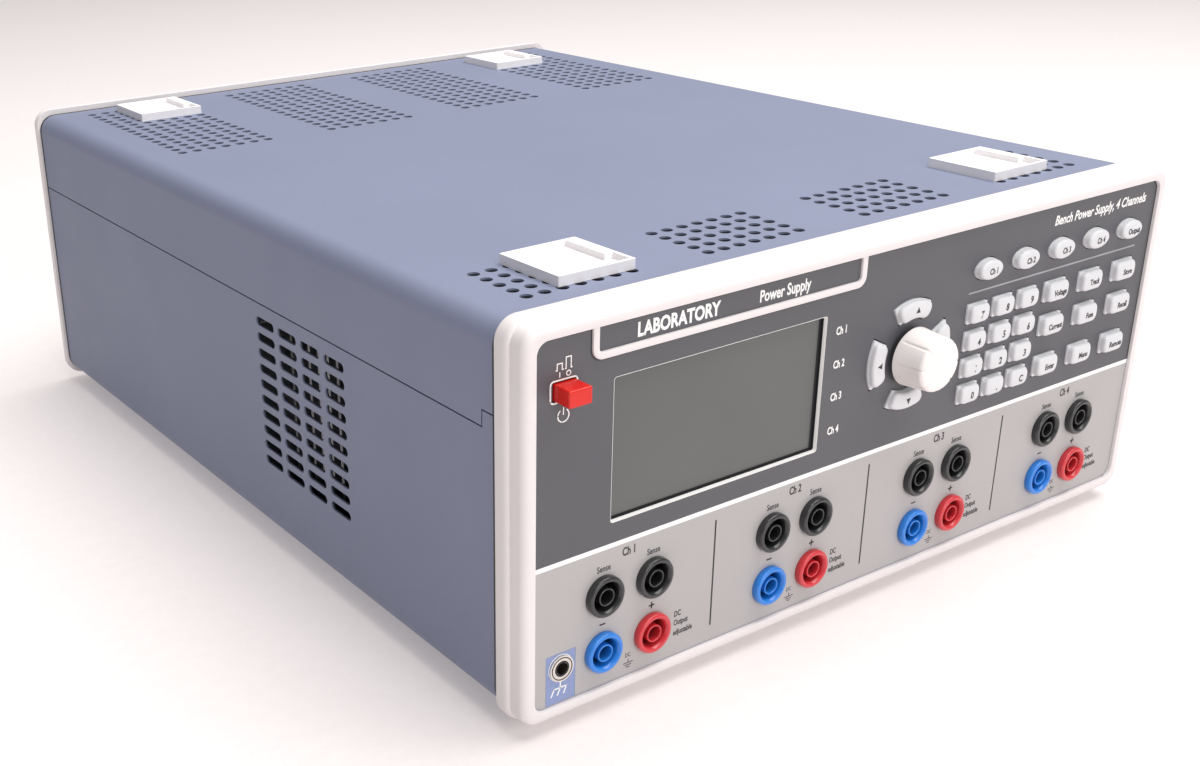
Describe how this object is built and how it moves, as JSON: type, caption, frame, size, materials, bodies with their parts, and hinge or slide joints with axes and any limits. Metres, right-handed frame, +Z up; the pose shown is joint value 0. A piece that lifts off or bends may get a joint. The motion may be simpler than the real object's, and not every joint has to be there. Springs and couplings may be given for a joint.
{
  "type": "bench power supply",
  "caption": "Table-top laboratory power supply: flat metal case, white front frame, display, keypad, rotary knob and safety sockets for its output channels.",
  "frame": {"origin": "centre of the instrument's plan outline, on the plane its feet stand on", "axes": "+X to the right seen from the front, +Y from the front panel to the back, +Z up"},
  "size_m": [0.285, 0.3772, 0.13],
  "materials": {
    "white_plastic": "satin moulded plastic",
    "key_plastic": "satin moulded plastic",
    "fascia": "printed front foil, dark grey above and light grey below",
    "display": "matt display glass",
    "red_plastic": "satin moulded plastic",
    "black_plastic": "moulded plastic",
    "grey_plastic": "hard rubber",
    "connector_plastic": "moulded plastic",
    "socket_black": "semi-gloss moulded plastic",
    "socket_blue": "semi-gloss moulded plastic",
    "socket_red": "semi-gloss moulded plastic",
    "nickel": "nickel-plated brass",
    "casing_paint": "blue-grey powder coat on sheet steel",
    "rear_steel": "blue-grey powder coat on sheet steel",
    "steel": "zinc-plated steel",
    "aluminium": "extruded aluminium",
    "circuit_board": "circuit board with green solder mask",
    "winding": "toroidal core wound with copper wire under polyester tape"
  },
  "bodies": {
    "casing": {"front_frame": "white_plastic", "rear_frame": "white_plastic", "stacking_trays": "white_plastic", "front_panel": "fascia", "display_module": "display", "power_switch_body": "black_plastic", "encoder_body": "steel", "sense_sockets": "socket_black", "negative_sockets": "socket_blue", "positive_sockets": "socket_red", "contact_sleeves": "nickel", "top_cover": "casing_paint", "bottom_cover": "casing_paint", "rear_panel": "rear_steel", "screws": "steel", "feet": "grey_plastic", "control_board": "circuit_board", "transformer": "winding", "main_board": "circuit_board", "heat_sink": "aluminium", "fan_frame": "black_plastic", "mains_inlet": "black_plastic", "rear_connectors": "connector_plastic"},
    "key_ch1": {"key_ch1": "key_plastic"},
    "key_ch2": {"key_ch2": "key_plastic"},
    "key_ch3": {"key_ch3": "key_plastic"},
    "key_ch4": {"key_ch4": "key_plastic"},
    "key_output": {"key_output": "key_plastic"},
    "key_0": {"key_0": "key_plastic"},
    "key_point": {"key_point": "key_plastic"},
    "key_clear": {"key_clear": "key_plastic"},
    "key_1": {"key_1": "key_plastic"},
    "key_2": {"key_2": "key_plastic"},
    "key_3": {"key_3": "key_plastic"},
    "key_4": {"key_4": "key_plastic"},
    "key_5": {"key_5": "key_plastic"},
    "key_6": {"key_6": "key_plastic"},
    "key_7": {"key_7": "key_plastic"},
    "key_8": {"key_8": "key_plastic"},
    "key_9": {"key_9": "key_plastic"},
    "key_voltage": {"key_voltage": "key_plastic"},
    "key_current": {"key_current": "key_plastic"},
    "key_enter": {"key_enter": "key_plastic"},
    "key_track": {"key_track": "key_plastic"},
    "key_fuse": {"key_fuse": "key_plastic"},
    "key_menu": {"key_menu": "key_plastic"},
    "key_store": {"key_store": "key_plastic"},
    "key_recall": {"key_recall": "key_plastic"},
    "key_remote": {"key_remote": "key_plastic"},
    "key_up": {"key_up": "key_plastic"},
    "key_down": {"key_down": "key_plastic"},
    "key_left": {"key_left": "key_plastic"},
    "key_right": {"key_right": "key_plastic"},
    "power_button": {"power_button": "red_plastic"},
    "encoder_plunger": {"encoder_plunger": "black_plastic"},
    "knob": {"knob": "key_plastic", "encoder_shaft": "steel"},
    "fan_rotor": {"fan_rotor": "black_plastic"},
    "tilt_leg_left": {"tilt_leg_left": "grey_plastic"},
    "tilt_leg_right": {"tilt_leg_right": "grey_plastic"}
  },
  "joints": [
    {"name": "key_ch1_press", "type": "slide", "parent": "casing", "child": "key_ch1", "axis": [0, 1, 0], "range_m": [0, 0.001], "stiffness_N_per_m": 800},
    {"name": "key_ch2_press", "type": "slide", "parent": "casing", "child": "key_ch2", "axis": [0, 1, 0], "range_m": [0, 0.001], "stiffness_N_per_m": 800},
    {"name": "key_ch3_press", "type": "slide", "parent": "casing", "child": "key_ch3", "axis": [0, 1, 0], "range_m": [0, 0.001], "stiffness_N_per_m": 800},
    {"name": "key_ch4_press", "type": "slide", "parent": "casing", "child": "key_ch4", "axis": [0, 1, 0], "range_m": [0, 0.001], "stiffness_N_per_m": 800},
    {"name": "key_output_press", "type": "slide", "parent": "casing", "child": "key_output", "axis": [0, 1, 0], "range_m": [0, 0.001], "stiffness_N_per_m": 800},
    {"name": "key_0_press", "type": "slide", "parent": "casing", "child": "key_0", "axis": [0, 1, 0], "range_m": [0, 0.001], "stiffness_N_per_m": 800},
    {"name": "key_point_press", "type": "slide", "parent": "casing", "child": "key_point", "axis": [0, 1, 0], "range_m": [0, 0.001], "stiffness_N_per_m": 800},
    {"name": "key_clear_press", "type": "slide", "parent": "casing", "child": "key_clear", "axis": [0, 1, 0], "range_m": [0, 0.001], "stiffness_N_per_m": 800},
    {"name": "key_1_press", "type": "slide", "parent": "casing", "child": "key_1", "axis": [0, 1, 0], "range_m": [0, 0.001], "stiffness_N_per_m": 800},
    {"name": "key_2_press", "type": "slide", "parent": "casing", "child": "key_2", "axis": [0, 1, 0], "range_m": [0, 0.001], "stiffness_N_per_m": 800},
    {"name": "key_3_press", "type": "slide", "parent": "casing", "child": "key_3", "axis": [0, 1, 0], "range_m": [0, 0.001], "stiffness_N_per_m": 800},
    {"name": "key_4_press", "type": "slide", "parent": "casing", "child": "key_4", "axis": [0, 1, 0], "range_m": [0, 0.001], "stiffness_N_per_m": 800},
    {"name": "key_5_press", "type": "slide", "parent": "casing", "child": "key_5", "axis": [0, 1, 0], "range_m": [0, 0.001], "stiffness_N_per_m": 800},
    {"name": "key_6_press", "type": "slide", "parent": "casing", "child": "key_6", "axis": [0, 1, 0], "range_m": [0, 0.001], "stiffness_N_per_m": 800},
    {"name": "key_7_press", "type": "slide", "parent": "casing", "child": "key_7", "axis": [0, 1, 0], "range_m": [0, 0.001], "stiffness_N_per_m": 800},
    {"name": "key_8_press", "type": "slide", "parent": "casing", "child": "key_8", "axis": [0, 1, 0], "range_m": [0, 0.001], "stiffness_N_per_m": 800},
    {"name": "key_9_press", "type": "slide", "parent": "casing", "child": "key_9", "axis": [0, 1, 0], "range_m": [0, 0.001], "stiffness_N_per_m": 800},
    {"name": "key_voltage_press", "type": "slide", "parent": "casing", "child": "key_voltage", "axis": [0, 1, 0], "range_m": [0, 0.001], "stiffness_N_per_m": 800},
    {"name": "key_current_press", "type": "slide", "parent": "casing", "child": "key_current", "axis": [0, 1, 0], "range_m": [0, 0.001], "stiffness_N_per_m": 800},
    {"name": "key_enter_press", "type": "slide", "parent": "casing", "child": "key_enter", "axis": [0, 1, 0], "range_m": [0, 0.001], "stiffness_N_per_m": 800},
    {"name": "key_track_press", "type": "slide", "parent": "casing", "child": "key_track", "axis": [0, 1, 0], "range_m": [0, 0.001], "stiffness_N_per_m": 800},
    {"name": "key_fuse_press", "type": "slide", "parent": "casing", "child": "key_fuse", "axis": [0, 1, 0], "range_m": [0, 0.001], "stiffness_N_per_m": 800},
    {"name": "key_menu_press", "type": "slide", "parent": "casing", "child": "key_menu", "axis": [0, 1, 0], "range_m": [0, 0.001], "stiffness_N_per_m": 800},
    {"name": "key_store_press", "type": "slide", "parent": "casing", "child": "key_store", "axis": [0, 1, 0], "range_m": [0, 0.001], "stiffness_N_per_m": 800},
    {"name": "key_recall_press", "type": "slide", "parent": "casing", "child": "key_recall", "axis": [0, 1, 0], "range_m": [0, 0.001], "stiffness_N_per_m": 800},
    {"name": "key_remote_press", "type": "slide", "parent": "casing", "child": "key_remote", "axis": [0, 1, 0], "range_m": [0, 0.001], "stiffness_N_per_m": 800},
    {"name": "key_up_press", "type": "slide", "parent": "casing", "child": "key_up", "axis": [0, 1, 0], "range_m": [0, 0.001], "stiffness_N_per_m": 800},
    {"name": "key_down_press", "type": "slide", "parent": "casing", "child": "key_down", "axis": [0, 1, 0], "range_m": [0, 0.001], "stiffness_N_per_m": 800},
    {"name": "key_left_press", "type": "slide", "parent": "casing", "child": "key_left", "axis": [0, 1, 0], "range_m": [0, 0.001], "stiffness_N_per_m": 800},
    {"name": "key_right_press", "type": "slide", "parent": "casing", "child": "key_right", "axis": [0, 1, 0], "range_m": [0, 0.001], "stiffness_N_per_m": 800},
    {"name": "power_press", "type": "slide", "parent": "casing", "child": "power_button", "axis": [0, 1, 0], "range_m": [0, 0.003], "stiffness_N_per_m": 600},
    {"name": "knob_press", "type": "slide", "parent": "casing", "child": "encoder_plunger", "axis": [0, 1, 0], "range_m": [0, 0.0005], "stiffness_N_per_m": 2000},
    {"name": "knob_turn", "type": "hinge", "parent": "encoder_plunger", "child": "knob", "pos_m": [0.0119, -0.1754, 0.0868], "axis": [0, -1, 0], "continuous": true},
    {"name": "fan_spin", "type": "hinge", "parent": "casing", "child": "fan_rotor", "pos_m": [-0.095, -0.0504, 0.0472], "axis": [1, 0, 0], "continuous": true},
    {"name": "tilt_leg_left_fold", "type": "hinge", "parent": "casing", "child": "tilt_leg_left", "pos_m": [-0.0951, -0.1442, 0.003], "axis": [-1, 0, 0], "range_deg": [0, 95]},
    {"name": "tilt_leg_right_fold", "type": "hinge", "parent": "casing", "child": "tilt_leg_right", "pos_m": [0.0951, -0.1442, 0.003], "axis": [-1, 0, 0], "range_deg": [0, 95]}
  ]
}
